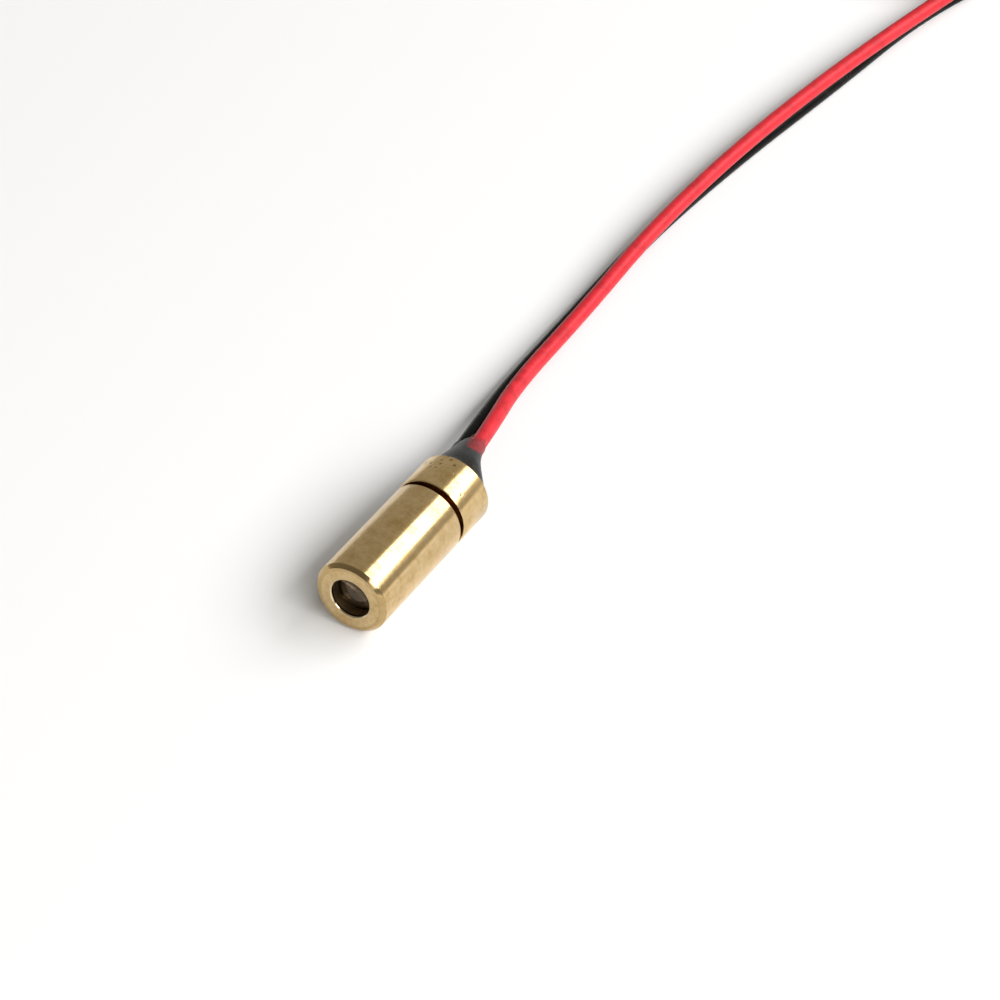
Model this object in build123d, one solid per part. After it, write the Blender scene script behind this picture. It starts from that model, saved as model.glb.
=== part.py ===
from build123d import *
import math
import os

# Laser diode module: a turned brass barrel on a brass diode holder, with two flying leads.
# Millimetres. The optical axis is the Y axis, and the beam leaves along -Y through the front
# face, which lies at y = 0. The module lies on its side, on a surface one body radius below
# the axis, and its two leads trail away over that surface.

# Brass body: the front barrel, the gap behind it and the rear collar of the diode holder
barrel_length = 7.14
barrel_wall = 0.35
focus_gap = 0.34
collar_wall = 0.32
front_chamfer = 0.19
edge_break = 0.04

# Bores of the front barrel, from the front
aperture_diameter = 2.15
aperture_edge_break = 0.06
aperture_wall = 0.7
lens_pocket_step = 0.22
lens_clearance = 0.03
thread_clearance = 0.03
thread_relief = 0.1

# Collimating lens, with a steep front face and a shallow back face
lens_rim_thickness = 0.6
lens_front_sag = 0.34
lens_back_sag = 0.14

# Spring that holds the lens against the aperture wall
spring_wire = 0.18
spring_inset = 0.13
spring_turns = 3.5
spring_runs_per_turn = 8
spring_lens_clearance = 0.05

# Neck of the diode holder
neck_length = 4.2
neck_end_clearance = 0.25
neck_end_wall = 0.9
beam_hole_diameter = 1.9
cap_clearance = 0.05

# Diode package of the 3.3 mm class, seated in the collar from the rear
stem_diameter = 3.3
stem_clearance = 0.03
stem_thickness = 0.8
stem_edge_break = 0.05
shoulder_depth = 0.4
stem_rim_width = 0.35
cap_wall = 0.1
cap_flange_width = 0.15
cap_flange_thickness = 0.12
cap_window_hole = 1.2
cap_head_room = 0.1
window_inset = 0.2
window_thickness = 0.15
heat_block_width = 1.2
heat_block_length = 0.95
heat_block_clearance = 0.06
submount_width = 0.5
submount_thickness = 0.16
submount_length = 0.6
laser_chip_width = 0.2
laser_chip_thickness = 0.1
laser_chip_length = 0.45
photodiode_width = 0.4
photodiode_thickness = 0.1

# Pins of the package and their glass seals
pin_diameter = 0.3
pin_circle_diameter = 1.0
pin_inner_length = 0.3
pin_tail_past_board = 0.14
glass_seal_diameter = 0.52
pin_angles = {"laser_pin": 30, "photodiode_pin": 150, "case_pin": 270}

# Driver board behind the package, and what is soldered to it
board_clearance = 0.06
board_thickness = 0.25
board_gap = 0.45
potting_depth = 0.42
board_hole_clearance = 0.02
chip_width = 0.9
chip_depth = 0.6
chip_thickness = 0.34
chip_inset = 0.67
passive_length = 0.62
passive_width = 0.32
resistor_thickness = 0.2
capacitor_thickness = 0.3
passive_inset = 0.485
passive_angle = 40.7
pin_solder_diameter = 0.44
pin_solder_height = 0.12
lead_solder_diameter = 0.52
lead_solder_height = 0.2

# Leads: insulated wire, stripped at the board and tinned at the free end. Each point of a route
# gives its x, its distance behind the collar, and its z.
lead_diameter = 0.85
core_diameter = 0.32
tip_diameter = 0.36
tip_length = 3.0
red_route = [
    (0.12, -0.05, 0.85),
    (-0.46, 2.40, 0.30),
    (-1.03, 5.40, -0.07),
    (-2.07, 9.80, -0.72),
    (-2.32, 17.00, -0.97),
    (-2.62, 25.50, -0.76),
    (-2.12, 34.80, -0.68),
    (-0.94, 44.00, -0.66),
    (0.52, 52.60, -0.82),
    (2.26, 59.30, -0.55),
]
black_route = [
    (-0.95, -0.05, -0.10),
    (-1.38, 2.40, -0.32),
    (-1.97, 5.20, -0.57),
    (-2.78, 9.80, -1.35),
    (-2.94, 17.00, -1.57),
    (-3.11, 25.50, -1.57),
    (-2.32, 34.80, -1.57),
    (-1.03, 44.00, -1.57),
    (-0.07, 52.60, -1.57),
    (2.16, 59.30, -1.41),
]

# Coil that the unseen length of both leads is wound into, held by a tie
coil_centre_x = -3.20
coil_distance = 60.45
coil_outer_turn_radius = 5.5
coil_turn_pitch = 0.9
coil_turns = 2
coil_layers = 2
coil_slack = 0.03
tie_thickness = 0.15
tie_width = 1.5
tie_clearance = 0.12
tie_angle = 95
tie_knot_length = 0.9
tip_inward_angle = 32
red_tip_angle = 20
black_tip_angle = -60

# Black potting: it fills the rear of the collar and draws out onto the leads.
# Each section is its centre's distance behind the collar, the centre's x and z, its two half
# widths, and how far it is swung to the left and its left side lowered, in degrees.
potting_base_overlap = 0.1
potting_sections = [
    (0.42, (-0.15, 0.04), (1.59, 1.50), 4, 6),
    (0.95, (-0.40, 0.08), (1.41, 1.22), 8, 18),
    (1.75, (-0.75, 0.04), (1.22, 0.90), 12, 30),
    (2.75, (-1.00, -0.07), (1.07, 0.64), 17, 34),
    (3.50, (-1.15, -0.16), (0.98, 0.52), 26, 33),
]

# Places worked out from the sizes above
cavity_radius = stem_diameter / 2 + stem_clearance
body_radius = cavity_radius + collar_wall
floor_z = -body_radius
collar_front = barrel_length + focus_gap
stem_front = collar_front + shoulder_depth
stem_rear = stem_front + stem_thickness
board_front = stem_rear + board_gap
board_rear = board_front + board_thickness
board_radius = cavity_radius - board_clearance
rear_face = board_rear + potting_depth
thread_bore_radius = body_radius - barrel_wall
neck_radius = thread_bore_radius - thread_clearance
neck_front = collar_front - neck_length
thread_start = neck_front - neck_end_clearance
lens_pocket_radius = thread_bore_radius - lens_pocket_step
lens_radius = lens_pocket_radius - lens_clearance
lens_back_rim = aperture_wall + lens_rim_thickness
spring_radius = lens_radius - spring_inset - spring_wire / 2
cap_flange_radius = stem_diameter / 2 - stem_rim_width
cap_outer_radius = cap_flange_radius - cap_flange_width
cap_inner_radius = cap_outer_radius - cap_wall
cap_top = stem_front - heat_block_length - cap_head_room - window_thickness - cap_wall
coil_floor = floor_z + tie_thickness
coil_height = coil_layers * lead_diameter + 2 * coil_slack
coil_outer_radius = coil_outer_turn_radius + lead_diameter / 2 + coil_slack
coil_inner_radius = coil_outer_radius - (coil_turns + 1) * coil_turn_pitch


def turned(outline):
    """A solid turned about the optical axis from (radius, y) points of its half section."""
    profile = make_face(Polyline(*[(radius, y, 0) for radius, y in outline], close=True))
    return revolve(profile, Axis.Y, 360)


def disc(radius, front, rear, x=0.0, z=0.0):
    """A round bar along the optical axis, from y = front to y = rear."""
    face = Plane(origin=(x, front, z), x_dir=(1, 0, 0), z_dir=(0, 1, 0)) * Circle(radius)
    return extrude(face, rear - front)


def block(width, length, height, x, front, z):
    """A block centred on x and z, reaching back along Y from y = front."""
    return Pos(x, front + length / 2, z) * Box(width, length, height)


def bend_radii(points):
    """The radius of the arc at each corner of a route, from the shorter of its two runs."""
    corners = [Vector(*point) for point in points]
    radii = []
    for before, corner, after in zip(corners, corners[1:], corners[2:]):
        half_turn = math.radians((corner - before).get_angle(after - corner)) / 2
        shorter = min((corner - before).length, (after - corner).length)
        radii.append(0.45 * shorter / math.tan(half_turn))
    return radii


def tube(points, diameter):
    """A round wire along straight runs joined by tangent arcs."""
    path = FilletPolyline(*points, radius=bend_radii(points))
    start = Plane(origin=points[0], z_dir=path % 0)
    return sweep(start * Circle(diameter / 2), path=path)


def pin_place(name):
    """The x and z of a pin of the diode package."""
    angle = math.radians(pin_angles[name])
    radius = pin_circle_diameter / 2
    return radius * math.cos(angle), radius * math.sin(angle)


def front_barrel():
    """The turned front barrel: aperture, lens pocket and threaded bore in one piece."""
    aperture = aperture_diameter / 2
    outline = [
        (aperture + aperture_edge_break, 0),
        (body_radius - front_chamfer, 0),
        (body_radius, front_chamfer),
        (body_radius, barrel_length - edge_break),
        (body_radius - edge_break, barrel_length),
        (thread_bore_radius + thread_relief, barrel_length),
        (thread_bore_radius, barrel_length - thread_relief),
        (thread_bore_radius, thread_start),
        (lens_pocket_radius, thread_start),
        (lens_pocket_radius, aperture_wall),
        (aperture, aperture_wall),
        (aperture, aperture_edge_break),
    ]
    return turned(outline)


def lens_cap(base_radius, sag):
    """A slice of a glass ball: its flat side is in the XZ plane, and it stands sag high along +Y."""
    ball_radius = (base_radius**2 + sag**2) / (2 * sag)
    ball = Pos(0, sag - ball_radius, 0) * Sphere(ball_radius)
    return ball & disc(base_radius, 0, sag)


def collimating_lens():
    """The glass lens: a flat rim that seats on the aperture wall and two curved faces."""
    front_optic = aperture_diameter / 2 - lens_clearance
    back_optic = spring_radius - spring_wire / 2 - spring_lens_clearance
    lens = disc(lens_radius, aperture_wall, lens_back_rim)
    lens += Pos(0, aperture_wall, 0) * Rot(180, 0, 0) * lens_cap(front_optic, lens_front_sag)
    lens += Pos(0, lens_back_rim, 0) * lens_cap(back_optic, lens_back_sag)
    return lens


def lens_spring():
    """A compression spring between the rim of the lens and the end of the neck, in short runs."""
    first = lens_back_rim + spring_wire / 2
    height = neck_front - lens_back_rim - spring_wire
    runs = round(spring_turns * spring_runs_per_turn)
    points = []
    for step in range(runs + 1):
        turn = 2 * math.pi * step / spring_runs_per_turn
        y = first + height * step / runs
        points.append((spring_radius * math.cos(turn), y, spring_radius * math.sin(turn)))
    path = Polyline(*points)
    start = Plane(origin=points[0], z_dir=path % 0)
    return sweep(start * Circle(spring_wire / 2), path=path, transition=Transition.RIGHT)


def diode_holder():
    """The brass diode holder: a neck that screws into the barrel, and the rear collar."""
    cap_bore = cap_flange_radius + cap_clearance
    outline = [
        (beam_hole_diameter / 2, neck_front),
        (neck_radius - edge_break, neck_front),
        (neck_radius, neck_front + edge_break),
        (neck_radius, collar_front),
        (body_radius - edge_break, collar_front),
        (body_radius, collar_front + edge_break),
        (body_radius, rear_face - edge_break),
        (body_radius - edge_break, rear_face),
        (cavity_radius, rear_face),
        (cavity_radius, stem_front),
        (cap_bore, stem_front),
        (cap_bore, neck_front + neck_end_wall),
        (beam_hole_diameter / 2, neck_front + neck_end_wall),
    ]
    return turned(outline)


def diode_stem():
    """The stem of the diode package, with its heat block and the holes for two pins."""
    rim = stem_diameter / 2
    stem = turned(
        [
            (0, stem_front),
            (rim - stem_edge_break, stem_front),
            (rim, stem_front + stem_edge_break),
            (rim, stem_rear),
            (0, stem_rear),
        ]
    )
    heat_block_top = -laser_chip_thickness - submount_thickness
    heat_block = disc(cap_inner_radius - heat_block_clearance, stem_front - heat_block_length, stem_front)
    room = block(heat_block_width, heat_block_length, stem_diameter, 0, stem_front - heat_block_length, 0)
    heat_block &= Pos(0, 0, heat_block_top - stem_diameter / 2) * room
    stem += heat_block
    for name in ("laser_pin", "photodiode_pin"):
        x, z = pin_place(name)
        stem -= disc(glass_seal_diameter / 2, stem_front, stem_rear, x, z)
    return stem


def diode_cap():
    """The thin metal cap of the package, with its flange and its window hole."""
    outline = [
        (cap_window_hole / 2, cap_top),
        (cap_outer_radius, cap_top),
        (cap_outer_radius, stem_front - cap_flange_thickness),
        (cap_flange_radius, stem_front - cap_flange_thickness),
        (cap_flange_radius, stem_front),
        (cap_inner_radius, stem_front),
        (cap_inner_radius, cap_top + cap_wall),
        (cap_window_hole / 2, cap_top + cap_wall),
    ]
    return turned(outline)


def cap_window():
    """The glass window, fused to the inside of the cap."""
    front = cap_top + cap_wall
    return disc(cap_inner_radius - window_inset, front, front + window_thickness)


def chip_submount():
    """The ceramic submount on the heat block."""
    top = -laser_chip_thickness
    front = stem_front - heat_block_length
    return block(submount_width, submount_length, submount_thickness, 0, front, top - submount_thickness / 2)


def laser_chip():
    """The laser chip, whose upper face lies on the optical axis."""
    front = stem_front - heat_block_length
    return block(laser_chip_width, laser_chip_length, laser_chip_thickness, 0, front, -laser_chip_thickness / 2)


def monitor_photodiode():
    """The photodiode that looks at the back of the laser chip."""
    front = stem_front - photodiode_thickness
    return block(photodiode_width, photodiode_thickness, photodiode_width, 0, front, 0)


def package_pin(name):
    """One pin of the package: two pass through the stem, and the third is welded to its back."""
    x, z = pin_place(name)
    front = stem_rear if name == "case_pin" else stem_front - pin_inner_length
    return disc(pin_diameter / 2, front, board_rear + pin_tail_past_board, x, z)


def pin_glass_seals():
    """The two glass beads that hold the insulated pins in the stem."""
    beads = []
    for name in ("laser_pin", "photodiode_pin"):
        x, z = pin_place(name)
        bead = disc(glass_seal_diameter / 2, stem_front, stem_rear, x, z)
        beads.append(bead - disc(pin_diameter / 2, stem_front, stem_rear, x, z))
    return Compound(children=[bead.solid() for bead in beads])


def driver_board():
    """The round driver board, drilled for the three pins."""
    board = disc(board_radius, board_front, board_rear)
    for name in pin_angles:
        x, z = pin_place(name)
        board -= disc(pin_diameter / 2 + board_hole_clearance, board_front, board_rear, x, z)
    return board


def driver_chip():
    """The driver chip, on the side of the board that faces the package."""
    height = board_radius - chip_inset
    return block(chip_width, chip_thickness, chip_depth, 0, board_front - chip_thickness, height)


def passive_part(side, thickness):
    """A small resistor or capacitor beside the pins, side being -1 or 1."""
    from_centre = board_radius - passive_inset
    x = side * from_centre * math.cos(math.radians(passive_angle))
    z = -from_centre * math.sin(math.radians(passive_angle))
    return block(passive_length, thickness, passive_width, x, board_front - thickness, z)


def solder_cone(diameter, height, hole, x, z):
    """A solder joint on the back of the board, drawn up round a wire or a pin."""
    outline = [
        (hole / 2, board_rear),
        (diameter / 2, board_rear),
        (hole / 2, board_rear + height),
    ]
    return Pos(x, 0, z) * turned(outline)


def pin_solder_joints():
    """The solder joints of the three pins."""
    joints = []
    for name in pin_angles:
        x, z = pin_place(name)
        joints.append(solder_cone(pin_solder_diameter, pin_solder_height, pin_diameter, x, z))
    return Compound(children=[joint.solid() for joint in joints])


def lead_solder_joints():
    """The solder joints of the two leads."""
    joints = []
    for route in (red_route, black_route):
        x, _, z = route[0]
        joints.append(solder_cone(lead_solder_diameter, lead_solder_height, core_diameter, x, z))
    return Compound(children=[joint.solid() for joint in joints])


def placed(route):
    """The points of a lead's route in the part's own frame."""
    return [(x, rear_face + distance, z) for x, distance, z in route]


def lead(name, route, coil):
    """The insulated lead from the board to the coil, which it meets at the coil's outer wall."""
    points = placed(route)
    radii = bend_radii(points)
    length = FilletPolyline(*points, radius=radii).length
    wire = tube(points, lead_diameter)
    section = math.pi * lead_diameter**2 / 4
    print(name, "radii", [round(radius, 1) for radius in radii])
    print(name, "volume", round(wire.volume, 3), "section x length", round(section * length, 3))
    return wire - coil


def lead_core(route, insulation):
    """The stripped end of a lead, from its solder joint to its insulation."""
    x, y, z = placed(route)[0]
    return disc(core_diameter / 2, board_rear, y + core_diameter, x, z) - insulation


def lead_coil():
    """The outer shape of the coiled leads."""
    x, y = coil_centre_x, rear_face + coil_distance
    ring = Cylinder(coil_outer_radius, coil_height) - Cylinder(coil_inner_radius, coil_height)
    return Pos(x, y, coil_floor + coil_height / 2) * ring


def lead_tie():
    """The tie round the coil: a flat band with its knot on the outer side."""
    x, y = coil_centre_x, rear_face + coil_distance
    width = coil_outer_radius - coil_inner_radius + 2 * tie_clearance
    height = coil_height + coil_slack
    middle = (coil_outer_radius + coil_inner_radius) / 2
    band = Box(width + 2 * tie_thickness, tie_width, height + 2 * tie_thickness) - Box(width, tie_width, height)
    band += Pos(width / 2 + tie_thickness + tie_knot_length / 2, 0, 0) * Box(
        tie_knot_length, tie_width * 0.6, tie_thickness * 4
    )
    return Pos(x, y, coil_floor + height / 2) * Rot(0, 0, tie_angle) * Pos(middle, 0, 0) * band


def lead_tip(angle, coil):
    """The tinned end of a lead, which leaves the inner wall of the coil and points inwards."""
    x, y = coil_centre_x, rear_face + coil_distance
    wall = math.radians(angle)
    start = (x + coil_inner_radius * math.cos(wall), y + coil_inner_radius * math.sin(wall))
    heading = wall + math.radians(90 + tip_inward_angle)
    direction = Vector(math.cos(heading), math.sin(heading), 0)
    height = coil_floor + lead_diameter / 2
    origin = Vector(start[0], start[1], height) - direction * tip_diameter
    wire = extrude(Plane(origin=origin, z_dir=direction) * Circle(tip_diameter / 2), tip_length + tip_diameter)
    return wire - coil


def potting(buried):
    """The black potting, cast round everything that it buries."""
    back = Plane(origin=(0, rear_face, 0), x_dir=(1, 0, 0), z_dir=(0, 1, 0))
    sections = [back * Circle(cavity_radius + potting_base_overlap)]
    for distance, (x, z), half_widths, swing, roll in potting_sections:
        across = (math.cos(math.radians(swing)), math.sin(math.radians(swing)), 0)
        behind = (-across[1], across[0], 0)
        place = Plane(origin=(x, rear_face + distance, z), x_dir=across, z_dir=behind)
        sections.append(place * Rot(0, 0, -roll) * Ellipse(*half_widths))
    boot = loft(sections)
    body = disc(cavity_radius, board_rear, rear_face) + boot
    for piece in buried:
        body -= piece
    return body


def main():
    """Make every piece and write each one to its own file."""
    coil = lead_coil()
    pieces = {
        "front_barrel": front_barrel(),
        "collimating_lens": collimating_lens(),
        "lens_spring": lens_spring(),
        "diode_holder": diode_holder(),
        "diode_stem": diode_stem(),
        "diode_cap": diode_cap(),
        "cap_window": cap_window(),
        "chip_submount": chip_submount(),
        "laser_chip": laser_chip(),
        "monitor_photodiode": monitor_photodiode(),
        "pin_glass_seals": pin_glass_seals(),
        "driver_board": driver_board(),
        "driver_chip": driver_chip(),
        "supply_capacitor": passive_part(-1, capacitor_thickness),
        "current_resistor": passive_part(1, resistor_thickness),
        "pin_solder_joints": pin_solder_joints(),
        "lead_solder_joints": lead_solder_joints(),
        "red_lead": lead("red_lead", red_route, coil),
        "black_lead": lead("black_lead", black_route, coil),
        "lead_coil": coil,
        "lead_tie": lead_tie(),
        "red_lead_tip": lead_tip(red_tip_angle, coil),
        "black_lead_tip": lead_tip(black_tip_angle, coil),
    }
    for name in pin_angles:
        pieces[name] = package_pin(name)
    pieces["red_lead_core"] = lead_core(red_route, pieces["red_lead"])
    pieces["black_lead_core"] = lead_core(black_route, pieces["black_lead"])
    buried = [*pin_angles, "pin_solder_joints", "lead_solder_joints"]
    buried += ["red_lead_core", "black_lead_core", "red_lead", "black_lead"]
    pieces["potting"] = potting([pieces[name] for name in buried])

    os.makedirs("parts", exist_ok=True)
    for name, piece in pieces.items():
        export_step(piece, f"parts/{name}.step")


main()
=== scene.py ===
import math

import bmesh
import bpy
from mathutils import Matrix, Vector


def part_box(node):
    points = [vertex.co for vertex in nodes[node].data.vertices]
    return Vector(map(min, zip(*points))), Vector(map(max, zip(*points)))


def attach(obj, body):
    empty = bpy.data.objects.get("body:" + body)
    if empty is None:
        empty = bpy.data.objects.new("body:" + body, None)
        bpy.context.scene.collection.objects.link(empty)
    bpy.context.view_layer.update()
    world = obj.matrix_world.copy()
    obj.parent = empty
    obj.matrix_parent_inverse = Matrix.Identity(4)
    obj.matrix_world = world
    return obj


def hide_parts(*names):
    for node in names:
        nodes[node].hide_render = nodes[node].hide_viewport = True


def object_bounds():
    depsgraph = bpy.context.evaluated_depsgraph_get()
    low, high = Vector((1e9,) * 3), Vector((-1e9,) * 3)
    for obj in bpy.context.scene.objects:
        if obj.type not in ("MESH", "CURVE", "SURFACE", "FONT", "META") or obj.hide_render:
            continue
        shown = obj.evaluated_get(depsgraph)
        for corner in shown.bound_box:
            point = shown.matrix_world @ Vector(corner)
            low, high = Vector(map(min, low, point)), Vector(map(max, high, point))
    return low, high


# Laser diode module: a turned brass barrel and diode holder with a red and a black flying lead.
# Metres, in the CAD model's frame: the optical axis is the Y axis, and the front face is at y = 0.

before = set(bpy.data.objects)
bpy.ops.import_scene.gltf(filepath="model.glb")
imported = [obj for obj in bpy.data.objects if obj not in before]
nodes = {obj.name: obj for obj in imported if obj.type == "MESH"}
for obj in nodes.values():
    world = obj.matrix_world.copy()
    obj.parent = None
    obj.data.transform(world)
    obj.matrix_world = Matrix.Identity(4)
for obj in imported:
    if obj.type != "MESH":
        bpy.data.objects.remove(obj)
cad_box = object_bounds()
scene = bpy.context.scene

# Sizes read from the frame
barrel_low, barrel_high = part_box("front_barrel")
holder_low, holder_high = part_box("diode_holder")
lens_low, lens_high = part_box("collimating_lens")
stem_low, stem_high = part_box("diode_stem")
spring_low, spring_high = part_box("lens_spring")
body_radius = (barrel_high.x - barrel_low.x) / 2
barrel_length = barrel_high.y
neck_front = holder_low.y
rear_face = holder_high.y
floor_z = barrel_low.z

# Turned brass: the same outlines as in the CAD model, with finely rounded edges
front_chamfer = 0.00019
edge_break = 0.00004
barrel_wall = 0.00035
aperture_radius = 0.001075
aperture_edge_break = 0.00006
aperture_wall = 0.0007
lens_clearance = 0.00003
thread_clearance = 0.00003
thread_relief = 0.0001
focus_gap = 0.00034
neck_end_clearance = 0.00025
neck_end_wall = 0.0009
beam_hole_radius = 0.00095
shoulder_depth = 0.0004
stem_clearance = 0.00003
cap_bore_radius = 0.00135
edge_round = 0.000018
edge_round_segments = 3
turning_steps = 224
merge_distance = 0.00000001

# The fine thread on the holder's neck
thread_pitch = 0.00035
thread_depth = 0.00015
thread_overlap = 0.00002
thread_base_share = 0.44
thread_crest_share = 0.1
thread_steps = 72
thread_parts_of_turn = 8

collar_front = barrel_length + focus_gap
stem_front = collar_front + shoulder_depth
stem_radius = (stem_high.x - stem_low.x) / 2
lens_pocket_radius = (lens_high.x - lens_low.x) / 2 + lens_clearance
thread_bore_radius = body_radius - barrel_wall
neck_radius = thread_bore_radius - thread_clearance
cavity_radius = stem_radius + stem_clearance

# The photograph's view: the pixels are where it shows the centre of the front face
photo_size = 1000
face_pixel = (349.73, 599.28)
view_azimuth = math.radians(30.54)
view_elevation = math.radians(39.62)
view_distance = 0.2
focal_pixels = 4133.9
sensor_width = 36
nearest_seen = 0.005
farthest_seen = 5

# The lens spring
spring_wire_diameter = 0.00018
spring_turns = 4.5
spring_flat_turns = 0.6
spring_points_per_turn = 32

# Leads: points of their routes, as (x, distance behind the rear face, z)
lead_diameter = 0.00085
curve_resolution = 16
red_route = [
    (0.00012, -0.00005, 0.00085),
    (-0.00046, 0.00240, 0.00030),
    (-0.00103, 0.00540, -0.00007),
    (-0.00207, 0.00980, -0.00072),
    (-0.00232, 0.01700, -0.00097),
    (-0.00262, 0.02550, -0.00076),
    (-0.00212, 0.03480, -0.00068),
    (-0.00094, 0.04400, -0.00066),
    (0.00052, 0.05260, -0.00082),
    (0.00226, 0.05930, -0.00055),
]
black_route = [
    (-0.00095, -0.00005, -0.00010),
    (-0.00138, 0.00240, -0.00032),
    (-0.00186, 0.00520, -0.00057),
    (-0.00271, 0.00980, -0.00135),
    (-0.00294, 0.01700, -0.00157),
    (-0.00311, 0.02550, -0.00157),
    (-0.00232, 0.03480, -0.00157),
    (-0.00103, 0.04400, -0.00157),
    (-0.00007, 0.05260, -0.00157),
    (0.00216, 0.05930, -0.00141),
]

# The coil that the unseen length of both leads is wound into
coil_low, coil_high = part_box("lead_coil")
coil_centre = (coil_low + coil_high) / 2
coil_outer_turn = (coil_high.x - coil_low.x) / 2 - lead_diameter / 2 - 0.00003
coil_pitch = 0.0009
coil_points_per_turn = 16
upper_layer = coil_high.z - lead_diameter / 2 - 0.00002
lower_layer = coil_low.z + lead_diameter / 2 + 0.00002
end_curl_radius = 0.00185
end_curl_steps = 4

# Bare ends
strand_count = 7
strand_diameter = 0.00012
strand_twist_pitch = 0.0022
tip_length = 0.003
tip_bend = math.radians(22)
tip_steps = 40

# The tie, at an angle round the coil
tie_angle = math.radians(95)
tie_thickness = 0.00015
tie_width = 0.0015
tie_slack = 0.0001
tie_corner_share = 0.36
tie_corner_segments = 10
tie_turns_held = 3
tie_head_size = (0.0009, tie_width * 1.45, 0.0011)
tie_head_overlap = 0.00003
tie_tail_height = 0.0017
tie_tail_drop = 0.0001
tie_edge_round = 0.00004
sharp_angle = 0.7

# The resin that is drawn up onto the leads: distances behind the rear face, and thicknesses
resin_start = -0.0003
resin_end = 0.0034
resin_thickness_start = 0.00014
resin_thickness_end = 0.00005
groove_start = 0.0002
groove_end = 0.0045
groove_radius_start = 0.0008
groove_radius_end = 0.0002
sleeve_segments = 48
resin_voxel = 0.00003
resin_smoothing_steps = 6
film_start = 0.0022
film_searched_from = 0.002
film_searched_to = 0.006
film_thickness = 0.00017


def make_camera():
    """The camera at the photograph's viewing angle, framed so that the front face falls on its pixel."""
    back = Vector(
        (
            math.sin(view_azimuth) * math.cos(view_elevation),
            -math.cos(view_azimuth) * math.cos(view_elevation),
            math.sin(view_elevation),
        )
    )
    right = Vector((math.cos(view_azimuth), math.sin(view_azimuth), 0))
    up = back.cross(right)
    metres_per_pixel = view_distance / focal_pixels
    offset_right = (face_pixel[0] - photo_size / 2) * metres_per_pixel
    offset_down = (face_pixel[1] - photo_size / 2) * metres_per_pixel
    place = back * view_distance - right * offset_right + up * offset_down
    lens = bpy.data.cameras.new("photo_view")
    lens.sensor_width = sensor_width
    lens.lens = focal_pixels / photo_size * sensor_width
    lens.clip_start = nearest_seen
    lens.clip_end = farthest_seen
    camera = bpy.data.objects.new("photo_view", lens)
    scene.collection.objects.link(camera)
    camera.matrix_world = Matrix(
        (
            (right.x, up.x, back.x, place.x),
            (right.y, up.y, back.y, place.y),
            (right.z, up.z, back.z, place.z),
            (0, 0, 0, 1),
        )
    )
    scene.camera = camera


def entry_angle(route):
    """The direction in which a lead's route meets the coil, seen from the coil's centre."""
    start = Vector(route[-1]) + Vector((0, rear_face, 0)) - coil_centre
    return math.atan2(start.y, start.x)


def coil_turns(route, turns, layer, last_layer, settle_from):
    """A lead's turns in the coil, from the end of its route inwards, which change layer at their end."""
    entry = entry_angle(route)
    points = []
    for step in range(1, round(turns * coil_points_per_turn) + 1):
        turned = step / coil_points_per_turn
        angle = entry + 2 * math.pi * turned
        radius = coil_outer_turn - coil_pitch * turned
        settled = min(max((turned - settle_from) / (turns - settle_from), 0), 1)
        height = layer + (last_layer - layer) * settled
        points.append(
            (coil_centre.x + radius * math.cos(angle), coil_centre.y + radius * math.sin(angle), height)
        )
    return points


def end_curl(route, turns, curl):
    """The last points of a lead, which leaves its innermost turn and curls inwards by an angle."""
    angle = entry_angle(route) + 2 * math.pi * round(turns * coil_points_per_turn) / coil_points_per_turn
    reach = coil_outer_turn - coil_pitch * turns - end_curl_radius
    middle = Vector((coil_centre.x + reach * math.cos(angle), coil_centre.y + reach * math.sin(angle)))
    points = []
    for step in range(1, end_curl_steps + 1):
        turn = angle + curl * step / end_curl_steps
        points.append(
            (
                middle.x + end_curl_radius * math.cos(turn),
                middle.y + end_curl_radius * math.sin(turn),
                lower_layer,
            )
        )
    return points


def make_lead(name, route, coil):
    """An insulated lead: one smooth curve along its route and then round its coil.

    Its points carry the wire's radius, and the bevel is a unit circle, so its box is true to size.
    """
    points = [(x, rear_face + distance, z) for x, distance, z in route] + coil
    line = bpy.data.curves.new(name, "CURVE")
    line.dimensions = "3D"
    spline = line.splines.new("NURBS")
    spline.points.add(len(points) - 1)
    for point, place in zip(spline.points, points):
        point.co = (*place, 1)
        point.radius = lead_diameter / 2
    spline.order_u = 3
    spline.use_endpoint_u = True
    line.resolution_u = curve_resolution
    line.bevel_depth = 1
    line.bevel_resolution = 8
    line.use_fill_caps = True
    lead = bpy.data.objects.new(name, line)
    scene.collection.objects.link(lead)
    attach(lead, "root")
    return lead


def make_tip(name, coil):
    """The bare end of a lead: tinned strands twisted round a middle one, bent a little inwards."""
    last, before = Vector(coil[-1]), Vector(coil[-2])
    heading = math.atan2(last.y - before.y, last.x - before.x)
    line = bpy.data.curves.new(name, "CURVE")
    line.dimensions = "3D"
    line.bevel_depth = 1
    line.bevel_resolution = 3
    line.use_fill_caps = True
    for strand in range(strand_count):
        spline = line.splines.new("POLY")
        spline.points.add(tip_steps)
        away = strand_diameter if strand else 0
        place = last - Vector((math.cos(heading), math.sin(heading), 0)) * strand_diameter
        for step in range(tip_steps + 1):
            along = tip_length * step / tip_steps
            direction = heading + tip_bend * step / tip_steps
            side = Vector((-math.sin(direction), math.cos(direction), 0))
            twist = 2 * math.pi * (along / strand_twist_pitch + strand / (strand_count - 1))
            spread = side * math.cos(twist) + Vector((0, 0, 1)) * math.sin(twist)
            spline.points[step].co = (*(place + spread * away), 1)
            spline.points[step].radius = strand_diameter / 2
            place = place + Vector((math.cos(direction), math.sin(direction), 0)) * tip_length / tip_steps
    tip = bpy.data.objects.new(name, line)
    scene.collection.objects.link(tip)
    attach(tip, "root")
    return tip


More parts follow.
